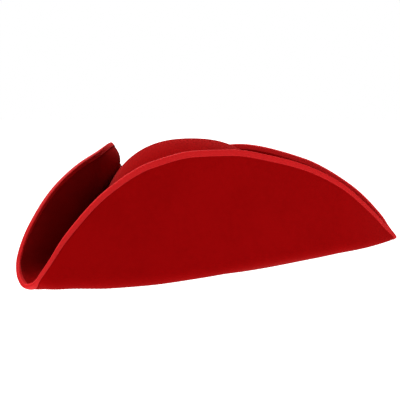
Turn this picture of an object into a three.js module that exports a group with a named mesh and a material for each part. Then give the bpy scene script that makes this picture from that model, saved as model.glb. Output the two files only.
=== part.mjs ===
// Red felt tricorn hat: a domed crown, a wide brim cocked up on three sides, and a ribbon bound over
// the rim. Millimetres, +Z up. The front tip points to -Y and the hat stands on its underside at Z = 0.
import * as THREE from "three";

// Felt and ribbon
const FELT = 2;
const RIBBON = 0.5;
const BINDING_WIDTH = 4.6;
const BINDING_TOP_SHARE = 0.6;
const SEAM_GAP = 0.3;

// Crown, measured outside the felt at the head line
const CROWN_HALF_WIDTH = 87.2;
const CROWN_HALF_LENGTH = 96;
const CROWN_HEIGHT = 111.6;
const CROWN_FULLNESS = 2.4;
const CROWN_SET_BACK = 4.5;
const CROWN_SIDES = 56;
const CROWN_RINGS = 11;

// Fold line, a rounded triangle seen from above: distance of its sides from the middle
const FRONT_SIDES_OUT = 108.6;
const BACK_SIDE_OUT = 112.3;

// Its tips, seen from above. sweep: radius of the wide curve that each side ends in. turn: how many
// degrees the sweep turns. point: radius of the round that joins the two sweeps.
const FRONT_TIP = { sweep: 27.5, turn: 30, point: 27.5 };
const SIDE_TIP = { sweep: 210, turn: 17, point: 5 };
const HALF_TIP = 60;

// Share and least length of the brim's floor that lies flat on the table
const FLAT_SHARE = 0.4;
const FLAT_LEAST = 5;

// Flap: how late its lean and its tuck set in on the way up
const LEAN_DELAY = 1.4;
const TUCK_DELAY = 2.65;

// Stations along each side and rows up each flap
const STATIONS = 34;
const CROWDED_AT_TIPS = 0.4;
const CROWDED_AT_MIDDLES = 0.25;
const FLOOR_SHARES = [0, 0.2, 0.4, 0.7];
const BEND_ROWS = 4;
const WALL_ROWS = 4;
const LEAST_STEP = 0.8;
const FLOOR_STEPS = 20;
const BEND_STEPS = 8;
const WALL_STEPS = 40;

// The cocked side of the brim on the wearer's left. at: 0 at the front tip, 1 at the middle, 2 at the
// side tip. rise: how far the felt climbs from the gutter's floor to the rim. draw: how far the rim is
// drawn in towards the crown. tuck: extra hollow high on the flap. bend: radius of the fold between floor
// and flap. lift: height of the fold over the table.
const LEFT_FLAP = [
  { at: 0.0, rise: 3.1, draw: 0, tuck: 0, bend: 14, lift: 4.7 },
  { at: 0.05, rise: 5.8, draw: 0, tuck: 0, bend: 12, lift: 4.7 },
  { at: 0.1, rise: 16.3, draw: 0, tuck: 0, bend: 11, lift: 4.9 },
  { at: 0.2, rise: 42, draw: 0.5, tuck: 0, bend: 10, lift: 4.3 },
  { at: 0.4, rise: 78.2, draw: 5, tuck: 0, bend: 10, lift: 1 },
  { at: 0.6, rise: 96.8, draw: 9, tuck: 0, bend: 10, lift: 0.1 },
  { at: 0.8, rise: 102.9, draw: 11.5, tuck: 0, bend: 10, lift: 1.3 },
  { at: 1.0, rise: 100.9, draw: 12.5, tuck: 0, bend: 10, lift: 3.4 },
  { at: 1.2, rise: 92.7, draw: 12.5, tuck: 0, bend: 10, lift: 5.9 },
  { at: 1.4, rise: 81.3, draw: 11.5, tuck: 0, bend: 10, lift: 8.3 },
  { at: 1.6, rise: 62.9, draw: 9, tuck: 0, bend: 10, lift: 10.7 },
  { at: 1.8, rise: 34.5, draw: 5, tuck: 0, bend: 8, lift: 13.4 },
  { at: 1.9, rise: 17, draw: 2.5, tuck: 0, bend: 5, lift: 15.8 },
  { at: 1.95, rise: 9.2, draw: 1.2, tuck: 0, bend: 3.5, lift: 17.1 },
  { at: 2.0, rise: 1.5, draw: 0, tuck: 0, bend: 3, lift: 18.4 },
];

// The side on the wearer's right, drawn in further and pressed against the crown at its middle.
const RIGHT_FLAP = [
  { at: 0.0, rise: 3.1, draw: 0, tuck: 0, bend: 14, lift: 4.7 },
  { at: 0.05, rise: 7.6, draw: 0, tuck: 0, bend: 15.5, lift: 4.7 },
  { at: 0.1, rise: 16, draw: 0.5, tuck: 0, bend: 17.5, lift: 4.9 },
  { at: 0.2, rise: 42.3, draw: 5.7, tuck: 0, bend: 20, lift: 4.3 },
  { at: 0.4, rise: 73.2, draw: 13.5, tuck: 0, bend: 16, lift: 1 },
  { at: 0.6, rise: 90.8, draw: 23.5, tuck: 1, bend: 12, lift: 0.1 },
  { at: 0.8, rise: 98, draw: 28.5, tuck: 5, bend: 10, lift: 1.3 },
  { at: 1.0, rise: 101.5, draw: 28.5, tuck: 17, bend: 10, lift: 3.4 },
  { at: 1.2, rise: 93, draw: 18, tuck: 6, bend: 10, lift: 5.9 },
  { at: 1.4, rise: 81.3, draw: 9.5, tuck: 2, bend: 10, lift: 8.3 },
  { at: 1.6, rise: 62.9, draw: 9, tuck: 0, bend: 10, lift: 10.7 },
  { at: 1.8, rise: 34.5, draw: 5, tuck: 0, bend: 8, lift: 13.4 },
  { at: 1.9, rise: 17, draw: 2.5, tuck: 0, bend: 5, lift: 15.8 },
  { at: 1.95, rise: 9.2, draw: 1.2, tuck: 0, bend: 3.5, lift: 17.1 },
  { at: 2.0, rise: 1.5, draw: 0, tuck: 0, bend: 3, lift: 18.4 },
];

// The back side of the brim, alike on both halves. at: 0 at a side tip, 1 at the middle.
const BACK_FLAP = [
  { at: 0.0, rise: 1.5, draw: 0, tuck: 0, bend: 3, lift: 18.4 },
  { at: 0.05, rise: 9.5, draw: 0, tuck: 0, bend: 3.5, lift: 17.1 },
  { at: 0.1, rise: 21, draw: 0.5, tuck: 0, bend: 5, lift: 15.8 },
  { at: 0.3, rise: 52, draw: 2.5, tuck: 0, bend: 8, lift: 12 },
  { at: 0.6, rise: 81.3, draw: 7.5, tuck: 0, bend: 8, lift: 7.5 },
  { at: 1.0, rise: 98.3, draw: 19, tuck: 0, bend: 8, lift: 3 },
];

const FELT_RED = 0x960c0e;
const RIBBON_RED = 0xb81c1e;

// Value of one column of a table, smooth between its rows and level at both ends.
function between(rows, column, at) {
  const last = rows.length - 1;
  const rate = (k) => (rows[k + 1][column] - rows[k][column]) / (rows[k + 1].at - rows[k].at);
  const slope = (k) => {
    if (k === 0 || k === last) return 0;
    const before = rate(k - 1);
    const after = rate(k);
    return before * after > 0 ? (2 * before * after) / (before + after) : 0;
  };
  let k = 0;
  while (k < last - 1 && at > rows[k + 1].at) k += 1;
  const step = rows[k + 1].at - rows[k].at;
  const t = (at - rows[k].at) / step;
  const rest = 1 - t;
  const start = rows[k][column] * (1 + 2 * t) + step * slope(k) * t;
  const end = rows[k + 1][column] * (1 + 2 * rest) - step * slope(k + 1) * rest;
  return start * rest * rest + end * t * t;
}

// Unit vector to a heading in degrees, seen from above.
function wayTo(heading) {
  const angle = THREE.MathUtils.degToRad(heading);
  return new THREE.Vector2(Math.cos(angle), Math.sin(angle));
}

// How far the middle of a tip's point lies in from both sides of the fold line.
function tipInset({ sweep, turn, point }) {
  return sweep - (sweep - point) * Math.cos(THREE.MathUtils.degToRad(turn));
}

// The three tips, with the middles of their points.
const frontIn = FRONT_SIDES_OUT - tipInset(FRONT_TIP);
const sideIn = FRONT_SIDES_OUT - tipInset(SIDE_TIP);
const backIn = BACK_SIDE_OUT - tipInset(SIDE_TIP);
const sideOut = (sideIn + backIn / 2) / Math.cos(Math.PI / 6);
const frontTip = { ...FRONT_TIP, middle: new THREE.Vector2(0, -2 * frontIn) };
const leftTip = { ...SIDE_TIP, middle: new THREE.Vector2(sideOut, backIn) };
const rightTip = { ...SIDE_TIP, middle: new THREE.Vector2(-sideOut, backIn) };

// The three sides in turn, and where along its flap's table a share from 0 to 2 lies.
const SIDES = [
  { from: frontTip, to: leftTip, facing: -30, rows: LEFT_FLAP, along: (at) => at },
  { from: leftTip, to: rightTip, facing: 90, rows: BACK_FLAP, along: (at) => 1 - Math.abs(at - 1) },
  { from: rightTip, to: frontTip, facing: 210, rows: RIGHT_FLAP, along: (at) => 2 - at },
];

// One arc of the fold line: how long it is, and its point and way out at a share of it.
function foldArc(middle, radius, start, end) {
  const onArc = (share) => {
    const out = wayTo(THREE.MathUtils.lerp(start, end, share));
    return { point: middle.clone().addScaledVector(out, radius), out };
  };
  return { length: radius * THREE.MathUtils.degToRad(end - start), at: onArc };
}

// Point of the fold line on one side, from the middle of one tip (0) to the middle of the next (2).
function foldLine({ from, to, facing }, at) {
  const leave = facing - from.turn;
  const arrive = facing + to.turn;
  const sweepMiddle = (tip, heading) =>
    tip.middle.clone().addScaledVector(wayTo(heading), tip.point - tip.sweep);
  const first = foldArc(sweepMiddle(from, leave), from.sweep, leave, facing);
  const last = foldArc(sweepMiddle(to, arrive), to.sweep, facing, arrive);
  const a = first.at(1).point;
  const b = last.at(0).point;
  const pieces = [
    foldArc(from.middle, from.point, facing - HALF_TIP, leave),
    first,
    { length: a.distanceTo(b), at: (share) => ({ point: a.clone().lerp(b, share), out: wayTo(facing) }) },
    last,
    foldArc(to.middle, to.point, arrive, facing + HALF_TIP),
  ];
  let left = (at / 2) * pieces.reduce((sum, piece) => sum + piece.length, 0);
  let i = 0;
  while (i < pieces.length - 1 && left > pieces[i].length) {
    left -= pieces[i].length;
    i += 1;
  }
  return pieces[i].at(left / pieces[i].length);
}

// Point of the head line, the oval edge of the brim's hole, on the way to a point of the fold.
function headLine(towards) {
  const halfWidth = CROWN_HALF_WIDTH - FELT;
  const halfLength = CROWN_HALF_LENGTH - FELT;
  const angle = Math.atan2((towards.y - CROWN_SET_BACK) / halfLength, towards.x / halfWidth);
  return new THREE.Vector2(halfWidth * Math.cos(angle), CROWN_SET_BACK + halfLength * Math.sin(angle));
}

// Middle of the felt at one station, from the head line over the floor, the fold and the flap to the rim.
// Near the tips the felt climbs less than the fold's bend, so there it turns up only part of the way.
function brimSection(side, at) {
  const { point, out } = foldLine(side, at);
  const column = (name) => between(side.rows, name, side.along(at));
  const rise = column("rise");
  const draw = column("draw");
  const tuck = column("tuck");
  const bend = column("bend");
  const lift = column("lift") + FELT / 2;
  const turn = Math.acos(Math.max(0, 1 - rise / bend));
  const foldStart = point.clone().addScaledVector(out, -bend * Math.sin(turn));
  const head = headLine(foldStart);
  const flat = Math.max(FLAT_SHARE, FLAT_LEAST / head.distanceTo(foldStart));
  const floorAt = (share) => {
    const plan = head.clone().lerp(foldStart, share);
    const climb = THREE.MathUtils.smoothstep(share, flat, 1);
    return new THREE.Vector3(plan.x, plan.y, THREE.MathUtils.lerp(FELT / 2, lift, climb));
  };
  const flapAt = (outwards, height) => {
    const up = height / rise;
    const inwards = draw * Math.pow(up, LEAN_DELAY) + tuck * Math.sin(Math.PI * Math.pow(up, TUCK_DELAY));
    const plan = point.clone().addScaledVector(out, outwards - inwards);
    return new THREE.Vector3(plan.x, plan.y, lift + height);
  };
  const points = [];
  for (let i = 0; i <= FLOOR_STEPS; i += 1) {
    points.push(floorAt(i / FLOOR_STEPS));
  }
  for (let i = 1; i <= BEND_STEPS; i += 1) {
    const turned = (i / BEND_STEPS) * turn;
    const outwards = bend * (Math.sin(turned) - Math.sin(turn));
    points.push(flapAt(outwards, bend * (1 - Math.cos(turned))));
  }
  const wallSteps = rise > bend ? WALL_STEPS : 0;
  for (let i = 1; i <= wallSteps; i += 1) {
    points.push(flapAt(0, THREE.MathUtils.lerp(bend, rise, i / WALL_STEPS)));
  }
  return { points, floorLength: floorAt(0).distanceTo(floorAt(1)), bendLength: bend * turn };
}

// One station's rows: a few on the floor, the fold, the flap, and three under the binding.
function brimRows(side, at) {
  const { points, floorLength, bendLength } = brimSection(side, at);
  const path = new THREE.CurvePath();
  for (let i = 1; i < points.length; i += 1) {
    path.add(new THREE.LineCurve3(points[i - 1], points[i]));
  }
  const length = path.getLength();
  const bindingStart = length - BINDING_WIDTH;
  const foldEnd = floorLength + bendLength;
  const walked = FLOOR_SHARES.map((share) => share * floorLength);
  const wanted = [];
  for (let i = 0; i < BEND_ROWS; i += 1) {
    wanted.push(THREE.MathUtils.lerp(floorLength, foldEnd, i / (BEND_ROWS - 1)));
  }
  for (let i = 1; i <= WALL_ROWS; i += 1) {
    wanted.push(THREE.MathUtils.lerp(foldEnd, bindingStart, i / (WALL_ROWS + 1)));
  }
  wanted.forEach((w, i) => walked.push(Math.min(w, bindingStart - (wanted.length - i) * LEAST_STEP)));
  walked.push(bindingStart, length - BINDING_WIDTH / 2, length);
  return walked.map((w) => path.getPoint(w / length));
}

// The felt's middle surface as rows of points, station by station round the hat, and its normals.
function brimSurface() {
  const grid = [];
  for (const side of SIDES) {
    for (let i = 0; i < STATIONS; i += 1) {
      const turn = (2 * Math.PI * i) / STATIONS;
      const crowded = turn - CROWDED_AT_TIPS * Math.sin(turn) - (CROWDED_AT_MIDDLES / 2) * Math.sin(2 * turn);
      grid.push(brimRows(side, crowded / Math.PI));
    }
  }
  const normals = grid.map((rows, j) => {
    const ahead = grid[(j + 1) % grid.length];
    const behind = grid[(j + grid.length - 1) % grid.length];
    return rows.map((_, i) => {
      const up = rows[Math.min(i + 1, rows.length - 1)].clone().sub(rows[Math.max(i - 1, 0)]);
      return up.cross(ahead[i].clone().sub(behind[i])).normalize();
    });
  });
  return { grid, normals };
}

// Closed ring from one closed loop of points at each station, with each quad cut along its shorter way.
function ringGeometry(loops) {
  const round = loops.length;
  const size = loops[0].length;
  const points = loops.flat();
  const index = [];
  for (let j = 0; j < round; j += 1) {
    const next = (j + 1) % round;
    for (let i = 0; i < size; i += 1) {
      const a = j * size + i;
      const b = j * size + ((i + 1) % size);
      const c = next * size + ((i + 1) % size);
      const d = next * size + i;
      const alongAC = points[a].distanceTo(points[c]) < points[b].distanceTo(points[d]);
      index.push(...(alongAC ? [a, b, c, a, c, d] : [a, b, d, b, c, d]));
    }
  }
  const geometry = new THREE.BufferGeometry().setFromPoints(points);
  geometry.setIndex(index);
  geometry.computeVertexNormals();
  return geometry;
}

// Felt of the brim: the middle surface thickened to both sides.
function brimGeometry({ grid, normals }) {
  const face = (j, offset) => grid[j].map((p, i) => p.clone().addScaledVector(normals[j][i], offset));
  return ringGeometry(grid.map((_, j) => [...face(j, FELT / 2), ...face(j, -FELT / 2).reverse()]));
}

// Ribbon folded over the rim: a leg down each face of the felt and a rounded top.
function bindingGeometry({ grid, normals }) {
  const seat = FELT / 2 + SEAM_GAP;
  const outside = seat + RIBBON;
  const loops = grid.map((rows, j) => {
    const legs = [rows.length - 3, rows.length - 2, rows.length - 1];
    const rim = rows[legs[2]];
    const up = rim.clone().sub(rows[legs[1]]).normalize();
    const at = (i, offset, over) =>
      rows[i].clone().addScaledVector(normals[j][i], offset).addScaledVector(up, over);
    const leg = (offset) => legs.map((i) => at(i, offset, 0));
    return [
      ...leg(outside),
      at(legs[2], BINDING_TOP_SHARE * outside, SEAM_GAP + RIBBON),
      at(legs[2], -BINDING_TOP_SHARE * outside, SEAM_GAP + RIBBON),
      ...leg(-outside).reverse(),
      ...leg(-seat).slice(0, 2),
      at(legs[2], -seat, SEAM_GAP),
      at(legs[2], seat, SEAM_GAP),
      ...leg(seat).slice(0, 2).reverse(),
    ];
  });
  return ringGeometry(loops);
}

// Felt of the crown: a turned dome, hollow and open below, drawn out to the oval of a head.
function crownGeometry() {
  const foot = FELT + SEAM_GAP;
  const profile = [];
  const dome = (radius, height, ring) => {
    const share = ring / CROWN_RINGS;
    const angle = (Math.PI / 2) * share;
    const z = height * Math.pow(Math.sin(angle), 2 / CROWN_FULLNESS);
    const r = radius * Math.pow(Math.cos(angle), 2 / CROWN_FULLNESS);
    return new THREE.Vector2(ring === CROWN_RINGS ? 0 : r, foot + z);
  };
  for (let ring = CROWN_RINGS; ring >= 0; ring -= 1) {
    profile.push(dome(CROWN_HALF_WIDTH - FELT, CROWN_HEIGHT - foot - FELT, ring));
  }
  for (let ring = 0; ring <= CROWN_RINGS; ring += 1) {
    profile.push(dome(CROWN_HALF_WIDTH, CROWN_HEIGHT - foot, ring));
  }
  const geometry = new THREE.LatheGeometry(profile, CROWN_SIDES);
  geometry.rotateX(Math.PI / 2);
  geometry.scale(1, CROWN_HALF_LENGTH / CROWN_HALF_WIDTH, 1);
  return geometry;
}

const felt = new THREE.MeshStandardMaterial({ color: FELT_RED, roughness: 0.95, metalness: 0 });
const ribbon = new THREE.MeshStandardMaterial({ color: RIBBON_RED, roughness: 0.75, metalness: 0 });

const surface = brimSurface();
const crown = new THREE.Mesh(crownGeometry(), felt);
crown.name = "crown";
crown.position.y = CROWN_SET_BACK;
const brim = new THREE.Mesh(brimGeometry(surface), felt);
brim.name = "brim";
const binding = new THREE.Mesh(bindingGeometry(surface), ribbon);
binding.name = "edge_binding";

// The hat is moved so that the middle of its underside is the origin.
const hat = new THREE.Group();
hat.add(crown, brim, binding);
const box = new THREE.Box3().setFromObject(hat, true);
hat.position.set(-(box.min.x + box.max.x) / 2, -(box.min.y + box.max.y) / 2, -box.min.z);

const tricorn = new THREE.Group();
tricorn.add(hat);
export default tricorn;
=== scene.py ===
import math

import bmesh
import bpy
from mathutils import Matrix, Vector, noise


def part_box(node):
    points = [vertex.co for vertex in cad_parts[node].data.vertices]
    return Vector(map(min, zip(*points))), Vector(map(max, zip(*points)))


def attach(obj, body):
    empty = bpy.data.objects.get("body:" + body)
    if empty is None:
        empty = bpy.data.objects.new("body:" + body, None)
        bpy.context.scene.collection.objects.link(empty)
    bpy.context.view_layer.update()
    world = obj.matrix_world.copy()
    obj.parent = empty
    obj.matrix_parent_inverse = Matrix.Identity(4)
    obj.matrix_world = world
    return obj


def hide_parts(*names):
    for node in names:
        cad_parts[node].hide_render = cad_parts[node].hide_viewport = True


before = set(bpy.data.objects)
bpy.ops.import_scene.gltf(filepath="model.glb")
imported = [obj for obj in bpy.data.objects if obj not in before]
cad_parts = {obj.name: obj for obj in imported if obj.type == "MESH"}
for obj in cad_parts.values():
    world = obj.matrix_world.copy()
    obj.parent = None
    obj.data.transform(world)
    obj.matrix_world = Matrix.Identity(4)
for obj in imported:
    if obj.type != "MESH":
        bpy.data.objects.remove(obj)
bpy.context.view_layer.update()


# Crown
# One hood of wool felt, steamed and pulled over a block into a plain dome, hollow and open below for
# the head. Its foot is stretched out into the brim in a small round, so no seam shows between them.

FELT = 0.002
CROWN_FULLNESS = 2.4
CROWN_RINGS = 44
CROWN_SIDES = 128
RINGS_TOWARDS_FOOT = 1.6
FOOT_FLARE = 0.003
FOOT_FLARE_HEIGHT = 0.007
MERGE_DISTANCE = 1e-6

FELT_RED = (0.285, 0.0012, 0.0017, 1)
FELT_SHADE = (0.255, 0.0009, 0.0013, 1)
FELT_FIBRE = (0.36, 0.0040, 0.0048, 1)
FELT_SHEEN = (1.0, 0.30, 0.28, 1)
DYE_CLOUD = 0.045
MATTING = 0.0045
FIBRE = 0.0011
STRAY_FIBRE = 0.0016
NAP_DEPTH = 0.0005

crown_low, crown_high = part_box("crown")
crown_middle = (crown_low + crown_high) / 2
crown_half = (crown_high - crown_low) / 2
crown_foot = crown_low.z


class Shade:
    """A shader socket that can stand in a sum or a product, as a number would."""

    def __init__(self, tree, socket=None):
        self.tree = tree
        self.socket = socket

    def node(self, kind, inputs, output=0, **settings):
        """Adds a node: its settings first, then the values or links of its sockets."""
        made = self.tree.nodes.new(kind)
        for name, setting in settings.items():
            setattr(made, name, setting)
        for name, value in inputs.items():
            if isinstance(value, Shade):
                self.tree.links.new(value.socket, made.inputs[name])
            else:
                made.inputs[name].default_value = value
        return Shade(self.tree, made.outputs[output] if made.outputs else None)

    def __add__(self, other):
        return self.node("ShaderNodeMath", {0: self, 1: other}, operation="ADD")

    def __sub__(self, other):
        return self.node("ShaderNodeMath", {0: self, 1: other}, operation="SUBTRACT")

    def __rsub__(self, other):
        return self.node("ShaderNodeMath", {0: other, 1: self}, operation="SUBTRACT")

    def __mul__(self, other):
        return self.node("ShaderNodeMath", {0: self, 1: other}, operation="MULTIPLY")

    __radd__ = __add__
    __rmul__ = __mul__


def new_finish(name):
    """A bare material and the start of its shader."""
    material = bpy.data.materials.new(name)
    material.use_nodes = True
    material.node_tree.nodes.clear()
    return material, Shade(material.node_tree)


def clouds(shade, place, size, detail=3.0, roughness=0.6, distortion=0.0):
    """Soft noise whose patches are about as big as size, in metres."""
    inputs = {
        "Vector": place,
        "Scale": 1 / size,
        "Detail": detail,
        "Roughness": roughness,
        "Distortion": distortion,
    }
    return shade.node("ShaderNodeTexNoise", inputs)


def blended(shade, share, first, second):
    """Two colours mixed by a share."""
    inputs = {0: share, 6: first, 7: second}
    return shade.node("ShaderNodeMix", inputs, output=2, data_type="RGBA", clamp_factor=True)


def ramped(shade, value, low, high):
    """Value brought from the range low to high to the range 0 to 1."""
    inputs = {"Value": value, "From Min": low, "From Max": high}
    return shade.node("ShaderNodeMapRange", inputs, interpolation_type="SMOOTHSTEP")


def felt_finish(name):
    """Matt wool felt: cloudy dye, matted curling fibres and a short nap that catches light edge on."""
    material, shade = new_finish(name)
    place = shade.node("ShaderNodeTexCoord", {}, output=3)
    dye = clouds(shade, place, DYE_CLOUD)
    matting = clouds(shade, place, MATTING, detail=4.0)
    fibres = clouds(shade, place, FIBRE, detail=5.0, roughness=0.7, distortion=2.2)
    curls = clouds(shade, place, STRAY_FIBRE, detail=4.0, distortion=4.5)
    strays = ramped(shade, curls, 0.62, 0.72)
    deep = ramped(shade, dye * 0.55 + matting * 0.45, 0.36, 0.62)
    colour = blended(shade, deep, FELT_SHADE, FELT_RED)
    colour = blended(shade, ramped(shade, fibres, 0.45, 0.75) * 0.3, colour, FELT_FIBRE)
    colour = blended(shade, strays * 0.2, colour, FELT_FIBRE)
    height = matting * 0.35 + fibres * 0.5 + strays * 0.15
    bump = shade.node("ShaderNodeBump", {"Height": height, "Strength": 0.45, "Distance": NAP_DEPTH})
    inputs = {
        "Base Color": colour,
        "Roughness": 0.86 + fibres * 0.12,
        "Normal": bump,
        "Specular IOR Level": 0.0,
        "Diffuse Roughness": 0.8,
        "Sheen Weight": 0.08,
        "Sheen Roughness": 0.45,
        "Sheen Tint": FELT_SHEEN,
    }
    surface = shade.node("ShaderNodeBsdfPrincipled", inputs)
    shade.node("ShaderNodeOutputMaterial", {"Surface": surface})
    return material


def mesh_of(name, bm):
    """The finished mesh of a shape."""
    mesh = bpy.data.meshes.new(name)
    bm.to_mesh(mesh)
    bm.free()
    return mesh


def new_piece(mesh, material):
    """An object made of a finished mesh, smooth and at the origin."""
    mesh.polygons.foreach_set("use_smooth", [True] * len(mesh.polygons))
    mesh.materials.append(material)
    piece = bpy.data.objects.new(mesh.name, mesh)
    bpy.context.scene.collection.objects.link(piece)
    return piece


def dome_profile(radius, height, flare):
    """Section of the dome from its foot to the middle of its top."""
    points = []
    for ring in range(CROWN_RINGS + 1):
        angle = math.pi / 2 * (ring / CROWN_RINGS) ** RINGS_TOWARDS_FOOT
        out = radius * max(math.cos(angle), 0) ** (2 / CROWN_FULLNESS)
        up = height * math.sin(angle) ** (2 / CROWN_FULLNESS)
        out += flare * max(0, 1 - up / FOOT_FLARE_HEIGHT) ** 2
        points.append(Vector((0 if ring == CROWN_RINGS else out, 0, crown_foot + up)))
    return points


crown_height = crown_high.z - crown_foot
outside = dome_profile(crown_half.x, crown_height, FOOT_FLARE)
inside = dome_profile(crown_half.x - FELT, crown_height - FELT, 0)
bm = bmesh.new()
section = [bm.verts.new(point) for point in reversed(outside)]
section += [bm.verts.new(point) for point in inside]
edges = [bm.edges.new(pair) for pair in zip(section, section[1:])]
bmesh.ops.spin(
    bm,
    geom=section + edges,
    cent=(0, 0, 0),
    axis=(0, 0, 1),
    angle=2 * math.pi,
    steps=CROWN_SIDES,
    use_merge=True,
)
bmesh.ops.remove_doubles(bm, verts=bm.verts, dist=MERGE_DISTANCE)
bmesh.ops.scale(bm, vec=(1, crown_half.y / crown_half.x, 1), verts=bm.verts)
bmesh.ops.translate(bm, vec=(crown_middle.x, crown_middle.y, 0), verts=bm.verts)
bmesh.ops.recalc_face_normals(bm, faces=bm.faces)

felt = felt_finish("wool_felt")
crown_felt = new_piece(mesh_of("crown_felt", bm), felt)
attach(crown_felt, "root")
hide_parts("crown")


# Brim
# One wide sheet of the same felt, flat under the crown and cocked up along a rounded triangle into
# three flaps. Each flap is steamed over and drawn in towards the crown, which leaves a gutter at each
# tip. The flap on the wearer's right is drawn in further and pressed against the crown.

CROWN_SET_BACK = 0.0045
FRONT_SIDES_OUT = 0.1086
BACK_SIDE_OUT = 0.1123
FRONT_TIP = dict(sweep=0.0275, turn=30, point=0.0275)
SIDE_TIP = dict(sweep=0.21, turn=17, point=0.005)
HALF_TIP = 60
FLAT_SHARE = 0.4
FLAT_LEAST = 0.005
LEAN_DELAY = 1.4
TUCK_DELAY = 2.65
STATIONS = 120
CROWDED_AT_TIPS = 0.4
CROWDED_AT_MIDDLES = 0.25
BRIM_ROWS = 80
FLOOR_STEPS = 20
BEND_STEPS = 12
WALL_STEPS = 40
UNEVEN = 0.0004
UNEVEN_SIZE = 0.055
UNEVEN_FROM = 0.006
UNEVEN_FULL = 0.03
UNEVEN_SEED = 3

# The front flap on the wearer's left, from the front tip (at 0) over its middle (1) to a side tip (2)
LEFT_FLAP = [
    dict(at=0.0, rise=0.0031, draw=0, tuck=0, bend=0.014, lift=0.0047),
    dict(at=0.05, rise=0.0058, draw=0, tuck=0, bend=0.012, lift=0.0047),
    dict(at=0.1, rise=0.0163, draw=0, tuck=0, bend=0.011, lift=0.0049),
    dict(at=0.2, rise=0.042, draw=0.0005, tuck=0, bend=0.01, lift=0.0043),
    dict(at=0.4, rise=0.0782, draw=0.005, tuck=0, bend=0.01, lift=0.001),
    dict(at=0.6, rise=0.0968, draw=0.009, tuck=0, bend=0.01, lift=0.0001),
    dict(at=0.8, rise=0.1029, draw=0.0115, tuck=0, bend=0.01, lift=0.0013),
    dict(at=1.0, rise=0.1009, draw=0.0125, tuck=0, bend=0.01, lift=0.0034),
    dict(at=1.2, rise=0.0927, draw=0.0125, tuck=0, bend=0.01, lift=0.0059),
    dict(at=1.4, rise=0.0813, draw=0.0115, tuck=0, bend=0.01, lift=0.0083),
    dict(at=1.6, rise=0.0629, draw=0.009, tuck=0, bend=0.01, lift=0.0107),
    dict(at=1.8, rise=0.0345, draw=0.005, tuck=0, bend=0.008, lift=0.0134),
    dict(at=1.9, rise=0.017, draw=0.0025, tuck=0, bend=0.005, lift=0.0158),
    dict(at=1.95, rise=0.0092, draw=0.0012, tuck=0, bend=0.0035, lift=0.0171),
    dict(at=2.0, rise=0.0015, draw=0, tuck=0, bend=0.003, lift=0.0184),
]

# The front flap on the wearer's right, from the front tip to the other side tip
RIGHT_FLAP = [
    dict(at=0.0, rise=0.0031, draw=0, tuck=0, bend=0.014, lift=0.0047),
    dict(at=0.05, rise=0.0076, draw=0, tuck=0, bend=0.0155, lift=0.0047),
    dict(at=0.1, rise=0.016, draw=0.0005, tuck=0, bend=0.0175, lift=0.0049),
    dict(at=0.2, rise=0.0423, draw=0.0057, tuck=0, bend=0.02, lift=0.0043),
    dict(at=0.4, rise=0.0732, draw=0.0135, tuck=0, bend=0.016, lift=0.001),
    dict(at=0.6, rise=0.0908, draw=0.0235, tuck=0.001, bend=0.012, lift=0.0001),
    dict(at=0.8, rise=0.098, draw=0.0285, tuck=0.005, bend=0.01, lift=0.0013),
    dict(at=1.0, rise=0.1015, draw=0.0285, tuck=0.017, bend=0.01, lift=0.0034),
    dict(at=1.2, rise=0.093, draw=0.018, tuck=0.006, bend=0.01, lift=0.0059),
    dict(at=1.4, rise=0.0813, draw=0.0095, tuck=0.002, bend=0.01, lift=0.0083),
    dict(at=1.6, rise=0.0629, draw=0.009, tuck=0, bend=0.01, lift=0.0107),
    dict(at=1.8, rise=0.0345, draw=0.005, tuck=0, bend=0.008, lift=0.0134),
    dict(at=1.9, rise=0.017, draw=0.0025, tuck=0, bend=0.005, lift=0.0158),
    dict(at=1.95, rise=0.0092, draw=0.0012, tuck=0, bend=0.0035, lift=0.0171),
    dict(at=2.0, rise=0.0015, draw=0, tuck=0, bend=0.003, lift=0.0184),
]

# The back flap, from a side tip (at 0) to its middle (1)
BACK_FLAP = [
    dict(at=0.0, rise=0.0015, draw=0, tuck=0, bend=0.003, lift=0.0184),
    dict(at=0.05, rise=0.0095, draw=0, tuck=0, bend=0.0035, lift=0.0171),
    dict(at=0.1, rise=0.021, draw=0.0005, tuck=0, bend=0.005, lift=0.0158),
    dict(at=0.3, rise=0.052, draw=0.0025, tuck=0, bend=0.008, lift=0.012),
    dict(at=0.6, rise=0.0813, draw=0.0075, tuck=0, bend=0.008, lift=0.0075),
    dict(at=1.0, rise=0.0983, draw=0.019, tuck=0, bend=0.008, lift=0.003),
]


def way_to(heading):
    """Unit vector to a heading in degrees, seen from above."""
    return Vector((math.cos(math.radians(heading)), math.sin(math.radians(heading))))


def tip_inset(tip):
    """How far the middle of a tip's point lies in from both sides of the fold line."""
    return tip["sweep"] - (tip["sweep"] - tip["point"]) * math.cos(math.radians(tip["turn"]))


front_in = FRONT_SIDES_OUT - tip_inset(FRONT_TIP)
side_in = FRONT_SIDES_OUT - tip_inset(SIDE_TIP)
back_in = BACK_SIDE_OUT - tip_inset(SIDE_TIP)
side_out = (side_in + back_in / 2) / math.cos(math.pi / 6)
front_tip = dict(FRONT_TIP, middle=Vector((0, -2 * front_in)))
left_tip = dict(SIDE_TIP, middle=Vector((side_out, back_in)))
right_tip = dict(SIDE_TIP, middle=Vector((-side_out, back_in)))
hat_middle = Vector((crown_middle.x, crown_middle.y - CROWN_SET_BACK, 0))

SIDES = [
    dict(start=front_tip, end=left_tip, facing=-30, flap=LEFT_FLAP, along=lambda at: at),
    dict(start=left_tip, end=right_tip, facing=90, flap=BACK_FLAP, along=lambda at: 1 - abs(at - 1)),
    dict(start=right_tip, end=front_tip, facing=210, flap=RIGHT_FLAP, along=lambda at: 2 - at),
]


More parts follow.
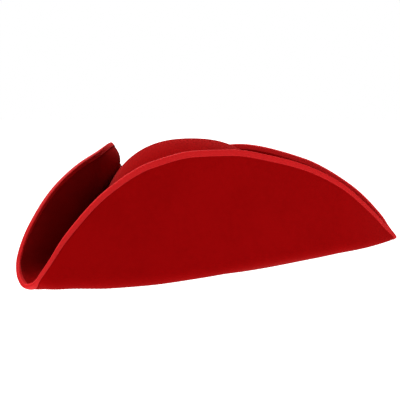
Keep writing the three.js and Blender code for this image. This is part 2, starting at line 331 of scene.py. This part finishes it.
def between(rows, column, at):
    """Value of one column of a table, smooth between its rows and level at both ends."""
    last = len(rows) - 1

    def rate(k):
        return (rows[k + 1][column] - rows[k][column]) / (rows[k + 1]["at"] - rows[k]["at"])

    def slope(k):
        if k in (0, last) or rate(k - 1) * rate(k) <= 0:
            return 0
        return 2 * rate(k - 1) * rate(k) / (rate(k - 1) + rate(k))

    k = 0
    while k < last - 1 and at > rows[k + 1]["at"]:
        k += 1
    step = rows[k + 1]["at"] - rows[k]["at"]
    t = (at - rows[k]["at"]) / step
    rest = 1 - t
    start = rows[k][column] * (1 + 2 * t) + step * slope(k) * t
    end = rows[k + 1][column] * (1 + 2 * rest) - step * slope(k + 1) * rest
    return start * rest * rest + end * t * t


def smooth_share(value, low, high):
    """How far value is from low to high, from 0 to 1 with soft ends."""
    t = min(max((value - low) / (high - low), 0), 1)
    return t * t * (3 - 2 * t)


def fold_arc(middle, radius, start, end):
    """Length of one arc of the fold line, and its point and way out at a share of it."""

    def on_arc(share):
        out = way_to(start + (end - start) * share)
        return middle + out * radius, out

    return radius * math.radians(end - start), on_arc


def fold_line(side, at):
    """Point of the fold from the middle of one tip (0) to the middle of the next (2), and its way out."""
    first, last, facing = side["start"], side["end"], side["facing"]
    leave = facing - first["turn"]
    arrive = facing + last["turn"]

    def sweep_middle(tip, heading):
        return tip["middle"] - way_to(heading) * (tip["sweep"] - tip["point"])

    leaving = fold_arc(sweep_middle(first, leave), first["sweep"], leave, facing)
    arriving = fold_arc(sweep_middle(last, arrive), last["sweep"], facing, arrive)
    a = leaving[1](1)[0]
    b = arriving[1](0)[0]
    pieces = [
        fold_arc(first["middle"], first["point"], facing - HALF_TIP, leave),
        leaving,
        ((b - a).length, lambda share: (a.lerp(b, share), way_to(facing))),
        arriving,
        fold_arc(last["middle"], last["point"], arrive, facing + HALF_TIP),
    ]
    left = at / 2 * sum(length for length, _ in pieces)
    k = 0
    while k < len(pieces) - 1 and left > pieces[k][0]:
        left -= pieces[k][0]
        k += 1
    length, on_piece = pieces[k]
    return on_piece(left / length)


def head_line(towards):
    """Point of the head opening's oval edge on the way to a point of the fold."""
    half_width = crown_half.x - FELT
    half_length = crown_half.y - FELT
    angle = math.atan2((towards.y - CROWN_SET_BACK) / half_length, towards.x / half_width)
    return Vector((half_width * math.cos(angle), CROWN_SET_BACK + half_length * math.sin(angle)))


def felt_line(side, at):
    """Middle of the felt at one station, from the head opening over floor, fold and flap to the rim.

    Near the tips the felt climbs less than the fold's bend, so there it turns up only part of the way.
    """
    fold, out = fold_line(side, at)
    columns = ("rise", "draw", "tuck", "bend", "lift")
    here = {name: between(side["flap"], name, side["along"](at)) for name in columns}
    rise = here["rise"]
    bend = here["bend"]
    lift = here["lift"] + FELT / 2
    turn = math.acos(max(0, 1 - rise / bend))
    fold_start = fold - out * bend * math.sin(turn)
    head = head_line(fold_start)
    flat = max(FLAT_SHARE, FLAT_LEAST / (fold_start - head).length)

    def flap_at(outwards, height):
        up = height / rise
        inwards = here["draw"] * up**LEAN_DELAY + here["tuck"] * math.sin(math.pi * up**TUCK_DELAY)
        return (fold + out * (outwards - inwards)).to_3d() + Vector((0, 0, lift + height))

    line = []
    for step in range(FLOOR_STEPS + 1):
        share = step / FLOOR_STEPS
        z = FELT / 2 + (lift - FELT / 2) * smooth_share(share, flat, 1)
        line.append(head.lerp(fold_start, share).to_3d() + Vector((0, 0, z)))
    for step in range(1, BEND_STEPS + 1):
        turned = turn * step / BEND_STEPS
        outwards = bend * (math.sin(turned) - math.sin(turn))
        line.append(flap_at(outwards, bend * (1 - math.cos(turned))))
    if rise > bend:
        for step in range(1, WALL_STEPS + 1):
            line.append(flap_at(0, bend + (rise - bend) * step / WALL_STEPS))
    return [uneven(point + hat_middle) for point in line]


def uneven(point):
    """The point moved a little, as steamed felt never sets quite even. The underside stays flat."""
    amount = UNEVEN * smooth_share(point.z, UNEVEN_FROM, UNEVEN_FULL)
    return point + noise.noise_vector(point / UNEVEN_SIZE) * amount


def walk(line, distances):
    """Points at the given distances along a line of points."""
    lengths = [0]
    for first, second in zip(line, line[1:]):
        lengths.append(lengths[-1] + (second - first).length)
    found = []
    k = 0
    for distance in distances(lengths[-1]):
        while k < len(line) - 2 and lengths[k + 1] < distance:
            k += 1
        share = (distance - lengths[k]) / (lengths[k + 1] - lengths[k])
        found.append(line[k].lerp(line[k + 1], share))
    return found


def stations_round(number):
    """The side and the place along it of each station round the hat, closest together near the tips."""
    for side in SIDES:
        for step in range(number):
            turn = 2 * math.pi * step / number
            crowded = turn - CROWDED_AT_TIPS * math.sin(turn) - CROWDED_AT_MIDDLES / 2 * math.sin(2 * turn)
            yield side, crowded / math.pi


def swept_grid(columns):
    """A grid bent so that each of its columns follows one list of points, and closed to a ring."""
    across, along = len(columns[0]) - 1, len(columns)
    bm = bmesh.new()
    bmesh.ops.create_grid(bm, x_segments=along, y_segments=across, size=0.5)
    width = bm.loops.layers.uv.new("sweep")
    for face in bm.faces:
        for loop in face.loops:
            loop[width].uv = loop.vert.co.xy
    for vert in bm.verts:
        j = round((vert.co.x + 0.5) * along)
        i = round((vert.co.y + 0.5) * across)
        vert.co = columns[j % along][i]
    return bm


def close_ring(bm):
    """Joins the grid's two ends, with its faces turned one way."""
    bmesh.ops.remove_doubles(bm, verts=bm.verts, dist=MERGE_DISTANCE)
    bmesh.ops.recalc_face_normals(bm, faces=bm.faces)


def thicken(piece, thickness):
    """Gives a sheet its thickness, half to each side."""
    wall = piece.modifiers.new("thickness", "SOLIDIFY")
    wall.thickness = thickness
    wall.offset = 0
    wall.use_even_offset = False
    wall.use_quality_normals = True


def brim_distances(length):
    return [length * row / BRIM_ROWS for row in range(BRIM_ROWS + 1)]


noise.seed_set(UNEVEN_SEED)
bm = swept_grid([walk(felt_line(side, at), brim_distances) for side, at in stations_round(STATIONS)])
close_ring(bm)
brim_felt = new_piece(mesh_of("brim_felt", bm), felt)
thicken(brim_felt, FELT)
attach(brim_felt, "root")
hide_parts("brim")


# Edge binding
# One ribbed ribbon, folded lengthwise over the rim and sewn through the felt close to its two borders.
# It is a little lighter and smoother than the felt, and stands slightly proud of it.

RIBBON = 0.0005
BINDING_WIDTH = 0.0046
BINDING_STATIONS = 260
LEG_STEPS = 6
CAP_STEPS = 8
RIBBON_SLACK = 0.00015
RIBBON_EASE = 0.00005
RIBBON_TOP_EASE = 0.0002
STITCH_LINE = 0.0037
RIB_PITCH = 0.0011

RIBBON_RED = (0.57, 0.0105, 0.0120, 1)
# Darker red painted as shade into the ribbon's rib valleys and into the low places of the thread's twist
PAINTED_GROOVE_SHADE = (0.46, 0.0065, 0.0078, 1)
RIBBON_SHEEN = (1.0, 0.35, 0.35, 1)
RIB_WAVER = 0.004
RIBBON_MOTTLE = 0.006
RIBBON_THREAD = 0.0007
RIB_DEPTH = 0.0002

from_rim = [BINDING_WIDTH * (LEG_STEPS - step) / LEG_STEPS for step in range(LEG_STEPS + 1)]


def ribbon_finish(name):
    """Ribbed ribbon: fine cords across its width, shade painted into the valleys between them, and a soft
    shine along the fold.
    """
    material, shade = new_finish(name)
    place = shade.node("ShaderNodeTexCoord", {}, output=3)
    sweep = shade.node("ShaderNodeUVMap", {}, uv_map="sweep")
    along = shade.node("ShaderNodeSeparateXYZ", {"Vector": sweep})
    turn = along * (2 * math.pi / RIB_PITCH) + clouds(shade, place, RIB_WAVER) * 1.5
    rib = shade.node("ShaderNodeMath", {0: turn}, operation="SINE") * 0.5 + 0.5
    mottle = clouds(shade, place, RIBBON_MOTTLE, detail=4.0)
    threads = clouds(shade, place, RIBBON_THREAD, detail=3.0)
    # Painted shade: the rib valleys take the darker red, while mottle and threads vary the tone at random
    rib_shade_and_mottle = ramped(shade, rib * 0.55 + mottle * 0.3 + threads * 0.15, 0.2, 0.75)
    colour = blended(shade, rib_shade_and_mottle, PAINTED_GROOVE_SHADE, RIBBON_RED)
    height = rib * 0.8 + threads * 0.2
    bump = shade.node("ShaderNodeBump", {"Height": height, "Strength": 0.5, "Distance": RIB_DEPTH})
    inputs = {
        "Base Color": colour,
        "Roughness": 0.72 - rib * 0.12,
        "Normal": bump,
        "Specular IOR Level": 0.08,
        "Diffuse Roughness": 0.5,
        "Sheen Weight": 0.03,
        "Sheen Roughness": 0.4,
        "Sheen Tint": RIBBON_SHEEN,
    }
    surface = shade.node("ShaderNodeBsdfPrincipled", inputs)
    shade.node("ShaderNodeOutputMaterial", {"Surface": surface})
    return material


def leg_distances(length):
    return [length - distance for distance in from_rim]


def normals_of(columns):
    """Way out of the felt at every point of a ring of columns."""
    count = len(columns)
    found = []
    for j, column in enumerate(columns):
        ahead, behind = columns[(j + 1) % count], columns[j - 1]
        normals = []
        for i in range(len(column)):
            up = column[min(i + 1, len(column) - 1)] - column[max(i - 1, 0)]
            normals.append(up.cross(ahead[i] - behind[i]).normalized())
        found.append(normals)
    return found


def ribbon_offset(distance):
    """How far the middle of the ribbon stands off the middle of the felt, at a distance from the rim."""
    slack = RIBBON_SLACK * max(0, math.sin(math.pi * distance / STITCH_LINE))
    return FELT / 2 + RIBBON / 2 + RIBBON_EASE + slack


def ribbon_section(leg, normals):
    """One section of the ribbon: up the outer face, over the rim and down the inner face."""
    outer = [p + n * ribbon_offset(d) for p, n, d in zip(leg, normals, from_rim)]
    inner = [p - n * ribbon_offset(d) for p, n, d in zip(leg, normals, from_rim)]
    up = (leg[-1] - leg[-2]).normalized()
    half = ribbon_offset(0)
    top = RIBBON / 2 + RIBBON_TOP_EASE
    over = []
    for step in range(1, CAP_STEPS):
        angle = math.pi * step / CAP_STEPS
        over.append(leg[-1] + normals[-1] * half * math.cos(angle) + up * top * math.sin(angle))
    return outer + over + inner[::-1]


legs = [walk(felt_line(side, at), leg_distances) for side, at in stations_round(BINDING_STATIONS)]
leg_normals = normals_of(legs)
sections = [ribbon_section(leg, normals) for leg, normals in zip(legs, leg_normals)]
rim = [leg[-1] for leg in legs]
rim_length = [0]
for j in range(len(rim)):
    rim_length.append(rim_length[-1] + (rim[(j + 1) % len(rim)] - rim[j]).length)
section_width = [0]
for first, second in zip(sections[0], sections[0][1:]):
    section_width.append(section_width[-1] + (second - first).length)

bm = swept_grid(sections)
sweep = bm.loops.layers.uv["sweep"]
for face in bm.faces:
    for loop in face.loops:
        j = round((loop[sweep].uv.x + 0.5) * len(sections))
        i = round((loop[sweep].uv.y + 0.5) * (len(section_width) - 1))
        loop[sweep].uv = (rim_length[j], section_width[i])
close_ring(bm)
binding_ribbon = new_piece(mesh_of("binding_ribbon", bm), ribbon_finish("ribbed_ribbon"))
thicken(binding_ribbon, RIBBON)
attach(binding_ribbon, "root")
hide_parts("edge_binding")


# Stitches
# A row of machine stitches in red thread along each border of the ribbon, through ribbon and felt.
# Each stitch is a short pull of thread that sinks into the ribbon at both ends.

STITCH_PITCH = 0.0034
STITCH_LENGTH = 0.0027
THREAD = 0.00042
THREAD_RED = (0.42, 0.006, 0.008, 1)
STITCH_SINK = 0.0001
THREAD_TWIST = 0.0005
TWIST_DEPTH = 0.0001


def thread_finish(name):
    """Twisted sewing thread, with shade painted into the low places of its twist."""
    material, shade = new_finish(name)
    place = shade.node("ShaderNodeTexCoord", {}, output=3)
    twist = clouds(shade, place, THREAD_TWIST, detail=2.0)
    # Painted shade: the low places of the twist take the darker groove red
    colour = blended(shade, twist, PAINTED_GROOVE_SHADE, THREAD_RED)
    bump = shade.node("ShaderNodeBump", {"Height": twist, "Strength": 0.4, "Distance": TWIST_DEPTH})
    inputs = {"Base Color": colour, "Roughness": 0.6, "Normal": bump, "Specular IOR Level": 0.2}
    surface = shade.node("ShaderNodeBsdfPrincipled", inputs)
    shade.node("ShaderNodeOutputMaterial", {"Surface": surface})
    return material


def on_rim(distance, items, station):
    """Point a distance round the rim, between two stations."""
    share = (distance - rim_length[station]) / (rim_length[station + 1] - rim_length[station])
    first, second = items[station], items[(station + 1) % len(items)]
    return first.lerp(second, share)


stitch_row = round(LEG_STEPS * (1 - STITCH_LINE / BINDING_WIDTH))
stitch_points = [leg[stitch_row] for leg in legs]
stitch_normals = [normals[stitch_row] for normals in leg_normals]
stitch_up = ribbon_offset(STITCH_LINE) + RIBBON / 2 - STITCH_SINK
bm = bmesh.new()
bmesh.ops.create_uvsphere(bm, u_segments=6, v_segments=5, radius=0.5)
bmesh.ops.scale(bm, vec=(STITCH_LENGTH, THREAD, THREAD), verts=bm.verts)
stitch_shape = mesh_of("stitch", bm)
stitches = round(rim_length[-1] / STITCH_PITCH)
bm = bmesh.new()
station = 0
for stitch in range(stitches):
    distance = rim_length[-1] * (stitch + 0.5) / stitches
    while rim_length[station + 1] < distance:
        station += 1
    place = on_rim(distance, stitch_points, station)
    out = on_rim(distance, stitch_normals, station).normalized()
    along = stitch_points[(station + 1) % len(stitch_points)] - stitch_points[station]
    along = (along - out * along.dot(out)).normalized()
    turn = Matrix((along, out.cross(along), out)).transposed().to_4x4()
    for way in (1, -1):
        sewn = stitch_shape.copy()
        sewn.transform(Matrix.Translation(place + out * stitch_up * way) @ turn)
        bm.from_mesh(sewn)
        bpy.data.meshes.remove(sewn)
bpy.data.meshes.remove(stitch_shape)
binding_stitches = new_piece(mesh_of("binding_stitches", bm), thread_finish("sewing_thread"))
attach(binding_stitches, "root")


# Floor and light
# A table of white opal sheet that is lit from below, a low soft lamp in front of the hat and a stronger
# one high behind it. The table throws light on to the cocked sides, and the gutters stay deep.

FLOOR_SIZE = 40
FLOOR_WHITE = (0.06, 0.06, 0.06, 1)
FLOOR_LIGHT = (1, 1, 1, 1)
FLOOR_GLOW = 1.56
LAMP_SPREAD = math.radians(50)
LAMPS = [
    dict(name="front_lamp", turn=-80, rise=12, strength=2.5),
    dict(name="back_lamp", turn=140, rise=70, strength=5.4),
]

bm = bmesh.new()
bmesh.ops.create_grid(bm, x_segments=1, y_segments=1, size=FLOOR_SIZE / 2)
floor_white, shade = new_finish("white_table")
inputs = {
    "Base Color": FLOOR_WHITE,
    "Roughness": 0.9,
    "Specular IOR Level": 0.0,
    "Emission Color": FLOOR_LIGHT,
    "Emission Strength": FLOOR_GLOW,
}
surface = shade.node("ShaderNodeBsdfPrincipled", inputs)
shade.node("ShaderNodeOutputMaterial", {"Surface": surface})
floor = new_piece(mesh_of("floor", bm), floor_white)

for row in LAMPS:
    lamp = bpy.data.objects.new(row["name"], bpy.data.lights.new(row["name"], "SUN"))
    lamp.data.angle = LAMP_SPREAD
    lamp.data.energy = row["strength"]
    rise = math.radians(row["rise"])
    towards_lamp = (way_to(row["turn"]) * math.cos(rise)).to_3d() + Vector((0, 0, math.sin(rise)))
    lamp.location = towards_lamp
    lamp.rotation_euler = (-towards_lamp).to_track_quat("-Z", "Y").to_euler()
    bpy.context.scene.collection.objects.link(lamp)

world = bpy.data.worlds.new("white_room")
world.use_nodes = True
world.node_tree.nodes.clear()
shade = Shade(world.node_tree)
seen = shade.node("ShaderNodeLightPath", {}, output=0)
room = shade.node("ShaderNodeBackground", {"Color": FLOOR_LIGHT, "Strength": seen})
shade.node("ShaderNodeOutputWorld", {"Surface": room})
bpy.context.scene.world = world
bpy.context.scene.view_settings.view_transform = "Standard"


# Camera
# It stands a little above the table, in front of the hat and to its left, and looks across the front tip.

CAMERA_TURN = math.radians(39.53)
CAMERA_RISE = math.radians(8.62)
CAMERA_DISTANCE = 0.545
CAMERA_LENS = 49.5
PHOTO_SIDE = 400
AIM_ACROSS = 187.9
AIM_DOWN = 200.96
AIM = hat_middle + Vector((0, 0, 0.05))

camera = bpy.data.objects.new("camera", bpy.data.cameras.new("camera"))
back = Vector(
    (
        math.sin(CAMERA_TURN) * math.cos(CAMERA_RISE),
        -math.cos(CAMERA_TURN) * math.cos(CAMERA_RISE),
        math.sin(CAMERA_RISE),
    )
)
camera.location = AIM + back * CAMERA_DISTANCE
camera.rotation_euler = (-back).to_track_quat("-Z", "Y").to_euler()
camera.data.lens = CAMERA_LENS
camera.data.shift_x = 0.5 - AIM_ACROSS / PHOTO_SIDE
camera.data.shift_y = AIM_DOWN / PHOTO_SIDE - 0.5
camera.data.clip_start = 0.01
bpy.context.scene.collection.objects.link(camera)
bpy.context.scene.camera = camera
